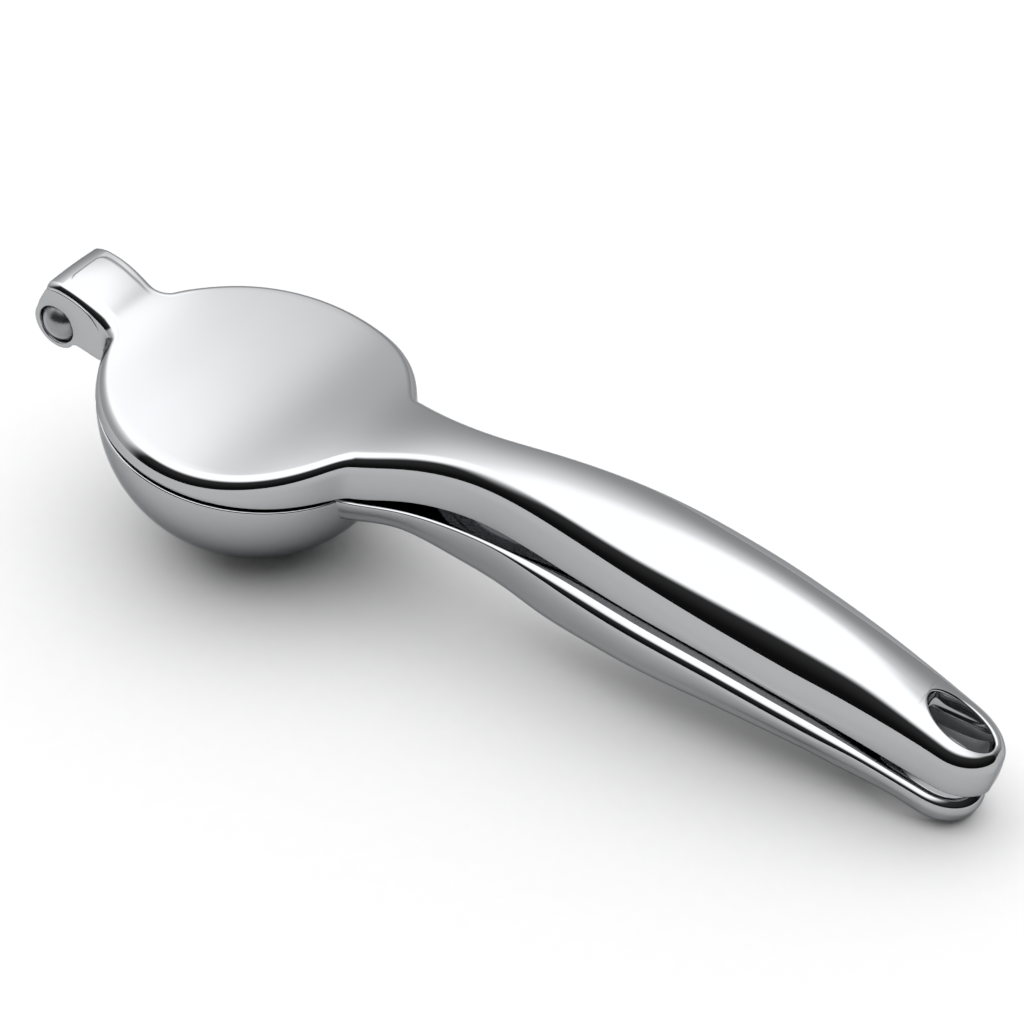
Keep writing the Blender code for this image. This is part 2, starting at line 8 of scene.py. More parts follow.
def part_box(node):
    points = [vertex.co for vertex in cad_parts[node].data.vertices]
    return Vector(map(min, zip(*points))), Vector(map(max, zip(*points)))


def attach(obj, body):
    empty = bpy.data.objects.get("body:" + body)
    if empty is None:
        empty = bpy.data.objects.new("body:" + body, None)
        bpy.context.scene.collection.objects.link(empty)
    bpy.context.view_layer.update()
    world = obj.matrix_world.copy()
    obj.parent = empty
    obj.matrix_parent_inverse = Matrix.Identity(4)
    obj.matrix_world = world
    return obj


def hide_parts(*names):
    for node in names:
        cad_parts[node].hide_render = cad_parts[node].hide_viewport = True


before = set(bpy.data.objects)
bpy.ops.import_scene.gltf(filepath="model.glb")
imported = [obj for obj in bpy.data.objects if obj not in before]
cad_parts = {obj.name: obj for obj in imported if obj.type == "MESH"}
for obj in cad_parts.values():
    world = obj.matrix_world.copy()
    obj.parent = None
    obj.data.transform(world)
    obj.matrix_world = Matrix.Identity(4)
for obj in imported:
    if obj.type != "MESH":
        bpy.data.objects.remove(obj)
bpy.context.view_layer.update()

# ---------------------------------------------------------------------------------------------------
# Where the press stands. Both arms are drawn in millimetres in the arm frame: its origin is the centre
# of the bowl on the parting plane, X runs to the tip of the handles and Z is up. The closed press rests
# on the foot of its bowl and on the tip of its lower handle, so that frame leans forward.

MM = 0.001
BOWL_RADIUS = 35.0
HINGE_X = -49.3
hinge_place = Vector(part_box("hinge_bush")[0]).lerp(Vector(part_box("hinge_bush")[1]), 0.5)
LEAN = math.acos(hinge_place.x / (HINGE_X * MM))
BOWL_HEIGHT = hinge_place.z / MM + HINGE_X * math.sin(LEAN)
ARM_FRAME = (Matrix.Scale(MM, 4) @ Matrix.Translation((0, 0, BOWL_HEIGHT)) @ Matrix.Rotation(LEAN, 4, "Y"))


def srgb(code):
    """Linear colour of an sRGB hex code."""
    parts = [int(code[i:i + 2], 16) / 255 for i in (0, 2, 4)]
    return tuple(c / 12.92 if c <= 0.04045 else ((c + 0.055) / 1.055) ** 2.4 for c in parts) + (1.0,)


def finished(name, bm, surface, body, nodes):
    """Turns a bmesh drawn in the arm frame into a piece that rides on a body and stands for CAD nodes."""
    bmesh.ops.transform(bm, matrix=ARM_FRAME, verts=bm.verts)
    mesh = bpy.data.meshes.new(name)
    bm.to_mesh(mesh)
    bm.free()
    mesh.shade_smooth()
    mesh.set_sharp_from_angle(angle=math.radians(50))
    mesh.materials.append(surface)
    piece = bpy.data.objects.new(name, mesh)
    bpy.context.scene.collection.objects.link(piece)
    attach(piece, body)
    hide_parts(*nodes)
    return piece


# ---------------------------------------------------------------------------------------------------
# Chrome plating over polished die-cast zinc. A bright mirror that takes its tone from the room, with
# the faint waviness that hand buffing leaves in the casting and a slightly duller haze where it is
# handled.

CHROME_COLOR = "AFB0B2"
EDGE_TINT = "B8B9BB"         # chromium reflects less at a glancing angle than other metals
BUFFING_WAVE = 14.0          # mm between the soft waves left by buffing
HAZE_SIZE = 30.0             # mm across a patch of haze
POLISH_LINES = 0.9           # mm; real polishing lines are ten times finer, too fine to show
POLISH_DEPTH = 0.0004        # mm
DULL_SHARE = 0.94            # colour of the haze, as a share of the plating's
CHROME_ROUGH = (0.025, 0.06)
BUFFING_DEPTH = 0.006        # mm


def add_node(tree, kind, settings=None, **inputs):
    """Adds a node, sets its properties, and gives each named input a value or a link."""
    node = tree.nodes.new(kind)
    for key, value in (settings or {}).items():
        setattr(node, key, value)
    for key, value in inputs.items():
        place = int(key[1:]) if key[0] == "i" and key[1:].isdigit() else key.replace("_", " ")
        if isinstance(value, bpy.types.NodeSocket):
            tree.links.new(value, node.inputs[place])
        else:
            node.inputs[place].default_value = value
    return node


def new_material(name):
    """A material with its node tree, its shader and its place in the object as the pattern's place."""
    made = bpy.data.materials.new(name)
    made.use_nodes = True
    tree = made.node_tree
    return made, tree, tree.nodes["Principled BSDF"], add_node(tree, "ShaderNodeTexCoord").outputs["Object"]


def noise(tree, place, size, detail):
    """Noise with a given distance in mm between its soft spots."""
    made = add_node(tree, "ShaderNodeTexNoise", Vector=place, Scale=1000 / size, Detail=detail)
    return made.outputs["Fac"]


def scaled(color, share):
    return tuple(share * c for c in color[:3]) + (1.0,)


def mixed(tree, factor, first, second):
    return add_node(tree, "ShaderNodeMix", {"data_type": "RGBA"}, i0=factor, i6=first, i7=second).outputs[2]


def plated(name, color, rough_low, rough_high, wave_height):
    made, tree, shader, place = new_material(name)
    haze = noise(tree, place, HAZE_SIZE, 3.0)
    rough = add_node(tree, "ShaderNodeMapRange", Value=haze, From_Min=0.35, From_Max=0.7,
                     To_Min=rough_low, To_Max=rough_high)
    tint = mixed(tree, haze, srgb(color), scaled(srgb(color), DULL_SHARE))
    soft = add_node(tree, "ShaderNodeBump", Strength=1.0, Distance=wave_height * MM,
                    Height=noise(tree, place, BUFFING_WAVE, 1.0))
    fine = add_node(tree, "ShaderNodeBump", Strength=1.0, Distance=POLISH_DEPTH * MM,
                    Height=noise(tree, place, POLISH_LINES, 2.0), Normal=soft.outputs["Normal"])
    tree.links.new(tint, shader.inputs["Base Color"])
    tree.links.new(rough.outputs[0], shader.inputs["Roughness"])
    tree.links.new(fine.outputs["Normal"], shader.inputs["Normal"])
    shader.inputs["Metallic"].default_value = 1.0
    shader.inputs["Specular Tint"].default_value = srgb(EDGE_TINT)
    return made


chrome = plated("chrome_plated_zinc", CHROME_COLOR, *CHROME_ROUGH, BUFFING_DEPTH)


# ---------------------------------------------------------------------------------------------------
# Press arm: one zinc casting that is lid, hinge hood and upper handle. Its top flows from the lid up
# the neck and rounds over along the handle, and the handle ends in a nose with a hanging hole.

HOOD_BACK_X = -52.35
HOOD_HALF_WIDTH = 9.05
HOOD_CORNER = 4.0            # hollow corner where the hood joins the lid
HOOD_ROLL = 3.7              # width of the strip that falls away to the hood's back edge
SIDE_ROLL = 3.0              # width of the strip along each side of the flat of the hood
PANEL_CORNER = 2.4           # radius of the corners of that flat
HOOD_END = 0.7               # radius of the hood's back edge
HOOD_STEP = 0.22             # height of the flat of the hood over the strips round it
STEP_WIDTH = 0.4
STEP_ENDS = (-34.0, -38.0)   # where that step begins and is full, from the lid to the hood
ROOF_UNDERSIDE = 6.1
FORK_DEPTH_X = -43.6         # where the fork's slot ends under the hood
TIP_X = 181.0
NOSE_X = 171.0
NECK_X = 24.0                # where the flat undersides of lid and bowl rim end
NECK_BLEND = 9.0             # width over which lid and neck flow into each other
LID_UNDERSIDE = 0.1
HOLE_LEFT, HOLE_RIGHT, HOLE_HALF = 163.0, 178.5, 4.7
HOLE_EDGE = 0.55
UNDER_EDGE = 0.6
SIDE_BULGE = 0.12            # how far the side swells out at half height
EDGE_POINTS = 14             # round the edge between side and top
EDGE_TIGHT = 0.5             # its radius where it meets the top, as a share of that at the side
EDGE_TURNS = (46.0, 62.0)    # degrees of the rounding between which its radius shrinks

# along X: half the width of both handles, underside and crest of the press arm, how much its top falls
# towards the sides (times the distance squared), and the size of its rounded edge

HANDLE_HALF_WIDTH = [(20.0, 17.0), (35.0, 13.2), (45.2, 9.65), (58.4, 8.06), (72.0, 9.4), (87.6, 11.64),
                     (104.0, 13.2), (119.7, 13.55), (136.0, 13.0), (149.0, 11.65), (171.0, 9.09),
                     (190.0, 7.72)]
UNDERSIDE = [(20.0, 0.1), (32.0, 0.1), (45.2, 4.3), (58.4, 7.7), (71.5, 10.1), (96.0, 11.7), (119.7, 12.1),
             (137.0, 11.0), (151.8, 8.9), (166.0, 6.2), (181.0, 4.0), (192.0, 2.7)]
CREST_LINE = [(-60.0, 11.4), (-52.0, 11.7), (-47.0, 11.7), (-43.5, 11.2), (-40.8, 10.4), (-38.0, 9.3),
              (-35.5, 8.2), (-33.0, 7.3), (-30.0, 6.6), (-25.0, 6.1), (-18.0, 5.85), (-10.0, 5.75),
              (0.0, 5.9), (9.0, 6.5), (17.2, 8.2), (22.5, 9.6), (27.0, 10.8), (31.0, 11.8), (38.0, 14.33),
              (45.0, 16.85), (58.4, 20.6), (71.5, 23.53), (85.0, 25.35), (97.0, 26.4), (110.0, 27.1),
              (123.0, 26.9), (140.0, 25.04), (152.0, 22.55), (165.0, 18.5), (172.0, 16.33), (181.0, 13.36),
              (192.0, 10.0)]
CROWN = [(-60.0, 0.005), (-45.0, 0.005), (-34.0, 0.0015), (-25.0, 0.0006), (0.0, 0.0006), (17.0, 0.0009),
         (30.0, 0.003), (45.0, 0.012), (60.0, 0.020), (85.0, 0.021), (97.0, 0.024), (110.0, 0.031),
         (123.0, 0.037), (140.0, 0.043), (152.0, 0.040), (165.0, 0.030), (181.0, 0.02)]
FILLET = [(-60.0, 1.9), (-44.0, 1.9), (-40.0, 2.3), (-34.0, 3.5), (-28.0, 3.8), (30.0, 3.8), (45.0, 3.9),
          (100.0, 4.2), (150.0, 4.2), (168.0, 3.2), (181.0, 2.6)]


def smooth_curve(points, x):
    """Height at x of a curve through points that never overshoots them, held level past its ends."""
    if x <= points[0][0]:
        return points[0][1]
    if x >= points[-1][0]:
        return points[-1][1]
    last = len(points) - 1
    i = next(k for k in range(last) if x <= points[k + 1][0])

    def slope(k):
        if k in (0, last):
            a, b = (points[0], points[1]) if k == 0 else (points[-2], points[-1])
            return (b[1] - a[1]) / (b[0] - a[0])
        left = (points[k][1] - points[k - 1][1]) / (points[k][0] - points[k - 1][0])
        right = (points[k + 1][1] - points[k][1]) / (points[k + 1][0] - points[k][0])
        return 0.0 if left * right <= 0 else 2 * left * right / (left + right)

    (x0, h0), (x1, h1) = points[i], points[i + 1]
    span = x1 - x0
    t = (x - x0) / span
    return ((2 * t ** 3 - 3 * t ** 2 + 1) * h0 + (t ** 3 - 2 * t ** 2 + t) * span * slope(i)
            + (3 * t ** 2 - 2 * t ** 3) * h1 + (t ** 3 - t ** 2) * span * slope(i + 1))


def faired(points, reach):
    """The curve through points, averaged over its surroundings so that reflections run over it
    without a break, and kept as a table with a fine step."""
    step = 0.2
    start, end = points[0][0], points[-1][0]
    count = int((end - start) / step) + 1
    raw = [smooth_curve(points, start + step * k) for k in range(count)]
    spread = int(2.5 * reach / step)
    weights = [math.exp(-0.5 * (j * step / reach) ** 2) for j in range(-spread, spread + 1)]
    total = sum(weights)
    low_slope, high_slope = raw[1] - raw[0], raw[-1] - raw[-2]

    def at(k):
        if k < 0:
            return raw[0] + k * low_slope
        if k >= count:
            return raw[-1] + (k - count + 1) * high_slope
        return raw[k]

    table = [sum(w * at(k + j) for w, j in zip(weights, range(-spread, spread + 1))) / total
             for k in range(count)]

    def height(x):
        place = min(max((x - start) / step, 1.0), count - 2.001)
        k = int(place)
        t = place - k
        a, b, c, d = table[k - 1], table[k], table[k + 1], table[min(k + 2, count - 1)]
        return b + 0.5 * t * (c - a + t * (2 * a - 5 * b + 4 * c - d + t * (3 * (b - c) + d - a)))

    return height


handle_half = faired(HANDLE_HALF_WIDTH, 5.0)
press_under = faired(UNDERSIDE, 4.0)
crest_near_hinge = faired(CREST_LINE[:15], 2.0)
crest_on_arm = faired(CREST_LINE[9:], 5.0)
crown = faired(CROWN, 5.0)
fillet_size = faired(FILLET, 3.0)


def eased(share):
    share = min(max(share, 0.0), 1.0)
    return share * share * (3 - 2 * share)


def nose_taper(x, tip_x, nose_x):
    """Share of its width that a handle keeps at x, round its nose."""
    reach = (x - nose_x) / (tip_x - nose_x)
    return 1.0 if reach <= 0 else math.sqrt(max(1 - reach ** 2.3, 0.0))


def soft_max(a, b, reach):
    """The larger of two widths, with the corner where they cross filled by a soft curve."""
    overlap = max(reach - abs(a - b), 0.0) / reach
    return max(a, b) + overlap ** 3 * reach / 6


def press_half(x):
    """Half the width of the press arm: hood, hollow corner, lid, neck and handle."""
    lid = math.sqrt(max(BOWL_RADIUS ** 2 - x * x, 0.0))
    if x < 0:
        reach, up = BOWL_RADIUS + HOOD_CORNER, HOOD_HALF_WIDTH + HOOD_CORNER
        centre = -math.sqrt(reach ** 2 - up ** 2)
        if x < centre:
            return HOOD_HALF_WIDTH
        if x < centre * BOWL_RADIUS / reach:
            return up - math.sqrt(HOOD_CORNER ** 2 - (x - centre) ** 2)
        return lid
    return soft_max(lid, handle_half(x) * nose_taper(x, TIP_X, NOSE_X), NECK_BLEND)


def crest(x):
    share = eased((x + 20.0) / 8.0)
    height = 0.0
    if share < 1:
        height += (1 - share) * crest_near_hinge(x)
    if share > 0:
        height += share * crest_on_arm(x)
    to_line = HOOD_ROLL - (x - HOOD_BACK_X)
    if to_line > 0:
        height -= 0.12 * to_line + 0.05 * to_line ** 2
    to_end = HOOD_END - (x - HOOD_BACK_X)
    if to_end > 0:
        height -= HOOD_END - math.sqrt(max(HOOD_END ** 2 - to_end ** 2, 0.0))
    return height


def press_top(x, y):
    """Height of the top: the crest, less the fall to the side, plus the step round the hood's flat."""
    ahead, beside = x - HOOD_BACK_X - HOOD_ROLL, HOOD_HALF_WIDTH - abs(y) - SIDE_ROLL
    inside = min(ahead, beside)
    if ahead < PANEL_CORNER and beside < PANEL_CORNER:
        inside = PANEL_CORNER - math.hypot(PANEL_CORNER - ahead, PANEL_CORNER - beside)
    begin, full = STEP_ENDS
    fade = min(max((begin - x) / (begin - full), 0.0), 1.0)
    step = min(max(inside / STEP_WIDTH, 0.0), 1.0) * fade
    return crest(x) - crown(x) * y * y + HOOD_STEP * eased(step)


def press_bottom(x):
    if x < FORK_DEPTH_X:
        return ROOF_UNDERSIDE
    return LID_UNDERSIDE if x < NECK_X else press_under(x)


SHORT_STEP, LONG_STEP = 0.12, 0.9      # mm between sections near an arm's start, and elsewhere
SHORT_REACH = 5.0
TURN_STEP = 3.5                        # degrees of the outline between sections, at most
OUTLINE_STEPS = 6000


def outline_stations(start_x, tip_x, half_width, hole):
    """Sections along one side of an arm, closer together where the outline turns: the outer point, the
    way inward, the inner point on the middle line or the hole's edge, and the way out of the hole."""
    hole_left, hole_right, hole_half = hole
    steps = OUTLINE_STEPS
    fine = []
    for i in range(steps + 1):
        x = start_x + (tip_x - start_x) * math.sin(0.5 * math.pi * i / steps)
        fine.append((x, half_width(x) if i < steps else 0.0))
    picked, run, bend = [0], 0.0, 0.0
    heading = None
    runs = [0.0]
    for i in range(1, steps + 1):
        dx, dy = fine[i][0] - fine[i - 1][0], fine[i][1] - fine[i - 1][1]
        length = math.hypot(dx, dy)
        runs.append(runs[-1] + length)
        now = math.atan2(dy, dx)
        if heading is not None:
            bend += abs(now - heading)
        heading = now
        run += length
        longest = SHORT_STEP if fine[i][0] < start_x + SHORT_REACH else LONG_STEP
        past_hole = fine[i][0] >= hole_left and fine[picked[-1]][0] < hole_left
        if run >= longest or (bend > math.radians(TURN_STEP) and run > 0.1) or past_hole:
            picked.append(i)
            run, bend = 0.0, 0.0
    if picked[-1] != steps:
        picked[-1] = steps
    hole_run = next(runs[i] for i in picked if fine[i][0] >= hole_left)
    stations = []
    for i in picked:
        a, b = fine[max(i - 1, 0)], fine[min(i + 1, steps)]
        length = math.dist(a, b)
        inward = ((b[1] - a[1]) / length, -(b[0] - a[0]) / length)
        if i == steps:
            inward = (-1.0, 0.0)
        if runs[i] < hole_run:
            inner, out = (fine[i][0], 0.0), (0.0, 0.0)
        else:
            turn = math.pi * (runs[i] - hole_run) / (runs[-1] - hole_run)
            middle, reach = 0.5 * (hole_left + hole_right), 0.5 * (hole_right - hole_left)
            inner = (middle - reach * math.cos(turn), hole_half * math.sin(turn) if i < steps else 0.0)
            size = math.hypot(hole_half * math.cos(turn), reach * math.sin(turn))
            out = (-hole_half * math.cos(turn) / size, reach * math.sin(turn) / size if i < steps else 0.0)
        stations.append((fine[i], inward, inner, out))
    return stations


def quarter(count):
    """Pairs (1 - cos, sin) round a quarter circle, both ends left out."""
    return [(1 - math.cos(0.5 * math.pi * k / count), math.sin(0.5 * math.pi * k / count))
            for k in range(1, count)]


def skin(rows, closed=False):
    """Skin over rows of points: the first row is drawn, and each next one is an extrusion of it."""
    bm = bmesh.new()
    order = bm.verts.layers.int.new("order")
    verts = []
    for number, point in enumerate(rows[0]):
        vert = bm.verts.new(point)
        vert[order] = number
        verts.append(vert)
    pairs = list(zip(verts, verts[1:] + (verts[:1] if closed else [])))
    edges = [bm.edges.new(pair) for pair in pairs]
    for row in rows[1:]:
        grown = bmesh.ops.extrude_edge_only(bm, edges=edges)["geom"]
        edges = [part for part in grown if isinstance(part, bmesh.types.BMEdge)]
        for part in grown:
            if isinstance(part, bmesh.types.BMVert):
                part.co = row[part[order]]
    return bm


def tidied(bm, gap=2e-3):
    """Closes doubled points and turns the faces outward."""
    bmesh.ops.remove_doubles(bm, verts=bm.verts, dist=gap)
    bmesh.ops.dissolve_degenerate(bm, edges=bm.edges, dist=1e-4)
    bmesh.ops.recalc_face_normals(bm, faces=bm.faces)
    return bm


def both_sides(bm):
    """Completes a half arm across its middle plane, where its two halves are one surface."""
    bmesh.ops.remove_doubles(bm, verts=bm.verts, dist=2e-3)
    flat = [face for face in bm.faces if all(abs(vert.co.y) < 1e-3 for vert in face.verts)]
    bmesh.ops.delete(bm, geom=flat, context="FACES")
    bmesh.ops.mirror(bm, geom=bm.verts[:] + bm.edges[:] + bm.faces[:], axis="Y", merge_dist=1e-3)
    return tidied(bm)


def round_edge(size, slope):
    """Rounding from an upright side to a top that rises inward at a slope: (inset, height under the
    corner that it cuts off). It is tighter where it meets the top, as buffing leaves it."""
    turn = 0.5 * math.pi - math.atan(slope)
    points, inset, rise = [(0.0, 0.0)], 0.0, 0.0
    for k in range(EDGE_POINTS):
        angle = turn * (k + 0.5) / EDGE_POINTS
        start, end = EDGE_TURNS
        radius = 1.0 - (1.0 - EDGE_TIGHT) * eased((math.degrees(angle) - start) / (end - start))
        inset += radius * math.sin(angle)
        rise += radius * math.cos(angle)
        points.append((inset, rise))
    # the last point lies on the top, whose height is the corner's plus the slope times the inset
    drop = size * math.hypot(1.0, slope)
    scale = drop / (rise - slope * inset)
    return [(a * scale, b * scale - drop) for a, b in points]


def arm_rows(stations, top, bottom, edge_line, belly, bulge, lean, hole_edge):
    """Rows of points round each half section, from the inner underside out, round its lower edge (belly),
    up the side, which can lean in and swell out, over its rounded edge and in along the top, and then
    down the wall of the hanging hole."""
    rows = []
    for (px, py), (nx, ny), (qx, qy), (ox, oy) in stations:
        def at(inset):
            return px + nx * inset, max(py + ny * inset, 0.0)

        row = []
        on_hole = (ox, oy) != (0.0, 0.0)
        rim = hole_edge if on_hole else 0.0
        sx, sy = qx + ox * rim, qy + oy * rim
        tilt = lean(px)
        ex, ey = at(belly + tilt)
        for k in range(7):
            x, y = sx + (ex - sx) * k / 6, sy + (ey - sy) * k / 6
            row.append((x, y, bottom(x)))
        for inset, rise in quarter(5):
            x, y = at(tilt + belly * (1 - rise))
            row.append((x, y, bottom(x) + belly * inset))
        corner = top(px, py)
        edge = edge_line(px, (px, py), (nx, ny))
        low, high = bottom(px) + belly, corner + edge[0][1]
        for k in range(5):
            x, y = at(tilt * (1 - k / 4) - bulge * math.sin(math.pi * k / 4))
            row.append((x, y, low + (high - low) * k / 4))
        tx, ty = at(edge[-1][0])
        slack = top(tx, ty) - corner - edge[-1][1]
        for inset, rise in edge[1:-1]:
            x, y = at(inset)
            row.append((x, y, corner + rise + slack * (inset / edge[-1][0]) ** 2))
        for k in range(19):
            x, y = tx + (sx - tx) * k / 18, ty + (sy - ty) * k / 18
            row.append((x, y, top(x, y)))
        wall_top = top(sx, sy) - rim
        for back, drop in [(0.0, 0.0)] + quarter(4) + [(1.0, 1.0)]:
            x, y = sx - ox * rim * drop, sy - oy * rim * drop
            row.append((x, y, wall_top + rim * (1 - back)))
        wall_low = bottom(sx) + rim
        row.append((qx, qy, 0.5 * (wall_top + wall_low)))
        for back, drop in [(0.0, 0.0)] + quarter(4):
            x, y = qx + ox * rim * back, qy + oy * rim * back
            row.append((x, y, wall_low - rim * drop))
        row.append((sx, sy, bottom(sx)))
        rows.append(row)
    return rows


def press_edge(x, outer, inward):
    """Rounding at a place of the outline, where the top slopes up from it across the arm."""
    size = fillet_size(x)
    reach = 0.5 * size
    rise = press_top(outer[0] + inward[0] * reach, outer[1] + inward[1] * reach) - press_top(*outer)
    return round_edge(size, max(rise / reach, 0.0))


def upright(x):
    """The press arm's side doesn't lean."""
    return 0.0


press_stations = outline_stations(HOOD_BACK_X, TIP_X, press_half, (HOLE_LEFT, HOLE_RIGHT, HOLE_HALF))
press = skin(arm_rows(press_stations, press_top, press_bottom, press_edge, UNDER_EDGE, SIDE_BULGE,
                      upright, HOLE_EDGE))
bmesh.ops.contextual_create(press, geom=[v for v in press.verts if abs(v.co.x - HOOD_BACK_X) < 1e-6])
press = both_sides(press)

# The two cheeks of the fork: flat plates under the hood with a turned pocket for the head of the pin.
CHEEK_FACE = 9.2
CHEEK_INNER = 6.4
CHEEK_EDGE = 0.3
POCKET_RADIUS = 4.75
POCKET_DEPTH = 1.7
PIN_BORE = 2.3
SLIT_RADIUS = 13.7
NOSE_RADIUS = 6.1


def round_place(radius, degrees):
    """Point (x, z) on a circle about the hinge."""
    angle = math.radians(degrees)
    return HINGE_X + radius * math.cos(angle), radius * math.sin(angle)


CHEEK_TOP = [(-36.1, 3.5), (-37.3, 5.5), (-38.7, 7.1), (-40.4, 8.3), (-42.4, 9.1), (-44.6, 9.6),
             (-46.8, 9.8), (-49.0, 9.75), (-50.8, 9.5), (-51.9, 9.1)]
CHEEK_BACK = [(-52.7, 8.0), (-53.4, 6.4), (-54.2, 4.6)]
CHEEK_HEEL = [(-45.4, -4.6), (-44.6, -3.5), (-43.5, -2.95), (-42.0, -3.0), (-39.5, -3.3), (-37.5, -3.5)]


def cheek_outline():
    """From the slit beside the bowl, up under the hood, round the hinge and back along the heel."""
    points = [round_place(SLIT_RADIUS, a) for a in (-14.5, -12, -8, -4, 0, 4, 8, 11.5)]
    points += CHEEK_TOP + CHEEK_BACK
    points += [round_place(NOSE_RADIUS, a) for a in range(155, 311, 6)]
    return points + CHEEK_HEEL


def shrunk(outline, inset):
    """The outline moved in by a small inset along its own normals."""
    moved = []
    count = len(outline)
    for k in range(count):
        a, b = outline[k - 1], outline[(k + 1) % count]
        length = math.dist(a, b)
        nx, nz = -(b[1] - a[1]) / length, (b[0] - a[0]) / length
        moved.append((outline[k][0] + nx * inset, outline[k][1] + nz * inset))
    return moved


def circle_like(outline, radius):
    """Points on a circle about the hinge, one in line with each point of the outline."""
    found = []
    for x, z in outline:
        share = radius / math.dist((x, z), (HINGE_X, 0.0))
        found.append((HINGE_X + (x - HINGE_X) * share, z * share))
    return found


def joined(target, addition):
    """Adds a closed shape to a casting."""
    part = bpy.data.meshes.new("part")
    addition.to_mesh(part)
    addition.free()
    target.from_mesh(part)
    bpy.data.meshes.remove(part)


def plate(layers):
    """Closed plate about the hinge axis, from loops of (x, z) points and their places across."""
    rows = [[(x, y, z) for x, z in loop] for loop, y in layers]
    bm = skin(rows + rows[:1], closed=True)
    return tidied(bm)


outline = cheek_outline()
cheek_layers = [(circle_like(outline, PIN_BORE), CHEEK_INNER),
                (shrunk(outline, CHEEK_EDGE), CHEEK_INNER),
                (shrunk(outline, 0.3 * CHEEK_EDGE), CHEEK_INNER + 0.3 * CHEEK_EDGE),
                (outline, CHEEK_INNER + CHEEK_EDGE), (outline, CHEEK_FACE - CHEEK_EDGE),
                (shrunk(outline, 0.3 * CHEEK_EDGE), CHEEK_FACE - 0.3 * CHEEK_EDGE),
                (shrunk(outline, CHEEK_EDGE), CHEEK_FACE),
                (circle_like(outline, POCKET_RADIUS + 0.35), CHEEK_FACE),
                (circle_like(outline, POCKET_RADIUS + 0.1), CHEEK_FACE - 0.1),
                (circle_like(outline, POCKET_RADIUS), CHEEK_FACE - 0.35),
                (circle_like(outline, POCKET_RADIUS), CHEEK_FACE - POCKET_DEPTH + 0.2),
                (circle_like(outline, POCKET_RADIUS - 0.2), CHEEK_FACE - POCKET_DEPTH),
                (circle_like(outline, PIN_BORE), CHEEK_FACE - POCKET_DEPTH)]
for side in (1, -1):
    joined(press, plate([(loop, side * y) for loop, y in cheek_layers]))

# Boss under the lid that the screw of the pressing dome goes into.
BOSS_RADIUS = 4.5
BOSS_FOOT = -20.5
BOSS_TOP = 1.5
SCREW_BORE = 2.3
SCREW_BORE_DEPTH = 5.0


def turned(profile, segments, axis="Z", place=(0.0, 0.0, 0.0)):
    """Shape turned about an axis from an open or closed line of (radius, height) points."""
    bm = bmesh.new()
    verts = [bm.verts.new((radius, 0.0, height)) for radius, height in profile]
    pairs = [(a, b) for a, b in zip(verts, verts[1:]) if a.co.x > 1e-6 or b.co.x > 1e-6]
    edges = [bm.edges.new(pair) for pair in pairs]
    bmesh.ops.spin(bm, geom=verts + edges, cent=(0, 0, 0), axis=(0, 0, 1), angle=2 * math.pi,
                   steps=segments, use_merge=True)
    tidied(bm, 1e-4)
    if axis != "Z":
        turn = math.pi / 2 if axis == "-Y" else -math.pi / 2
        bmesh.ops.rotate(bm, matrix=Matrix.Rotation(turn, 3, "X"), verts=bm.verts)
    bmesh.ops.translate(bm, vec=place, verts=bm.verts)
    return bm


boss = turned([(0, BOSS_TOP), (BOSS_RADIUS, BOSS_TOP), (BOSS_RADIUS, BOSS_FOOT + 0.3),
               (BOSS_RADIUS - 0.3, BOSS_FOOT), (SCREW_BORE, BOSS_FOOT),
               (SCREW_BORE, BOSS_FOOT + SCREW_BORE_DEPTH), (0, BOSS_FOOT + SCREW_BORE_DEPTH)], 48)
joined(press, boss)
finished("press_arm_casting", press, chrome, "press_side", ["press_arm"])


# ---------------------------------------------------------------------------------------------------
# Bowl arm: the second zinc casting, with the round bowl that takes half a fruit, the lower handle and
# the tongue of the hinge. The juice leaves through slots in the bottom of the bowl.

BOWL_WALL = 3.0
RIM_Z = -0.8
RIM_EDGE = 0.5
LOWER_START_X = 31.5
LOWER_TIP_X = 180.0
LOWER_NOSE_X = 170.0
SLOT_LEFT, SLOT_RIGHT, SLOT_HALF = 159.6, 177.4, 5.2
SLOT_EDGE = 0.5
LOWER_BELLY = 3.6            # radius of the lower handle's underside edge
LOWER_LEAN = 1.3             # how far its side leans in towards its underside
LOWER_BULGE = 0.25
DRAIN_COUNT = 8
DRAIN_NEAR, DRAIN_FAR = 13.0, 21.0     # from the middle of the bowl
BOWL_STEPS = 160
DRAIN_STEPS = 4              # of those, across one drain

# along X: gap between the handles, depth of the lower one, and size of its rounded and bevelled edge
GRIP_GAP = [(20.0, 0.8), (35.0, 0.8), (43.8, 2.5), (61.3, 4.6), (74.0, 4.4), (86.0, 3.6), (100.0, 3.2),
            (150.0, 3.1), (170.0, 3.3), (192.0, 3.4)]
LOWER_DEPTH = [(20.0, 9.0), (31.0, 8.4), (42.3, 7.6), (50.0, 9.4), (60.0, 11.7), (72.0, 13.2),
               (84.6, 15.3), (96.0, 15.0), (108.0, 14.4), (120.0, 13.0), (136.0, 11.1), (151.8, 9.5),
               (166.0, 7.2), (181.0, 7.2), (192.0, 7.2)]
BEVEL_SIZE = [(20.0, 0.4), (66.0, 0.45), (78.0, 1.4), (90.0, 2.7), (100.0, 3.0), (125.0, 2.7),
              (145.0, 2.4), (158.0, 1.2), (192.0, 1.0)]
grip_gap = faired(GRIP_GAP, 4.0)
bevel_size = faired(BEVEL_SIZE, 3.0)
lower_depth = faired(LOWER_DEPTH, 4.0)


def lower_half(x):
    return handle_half(x) * nose_taper(x, LOWER_TIP_X, LOWER_NOSE_X)


def lower_lean(x):
    """The lean of the side fades out towards the tip."""
    return LOWER_LEAN * min(max((172.0 - x) / 26.0, 0.0), 1.0)


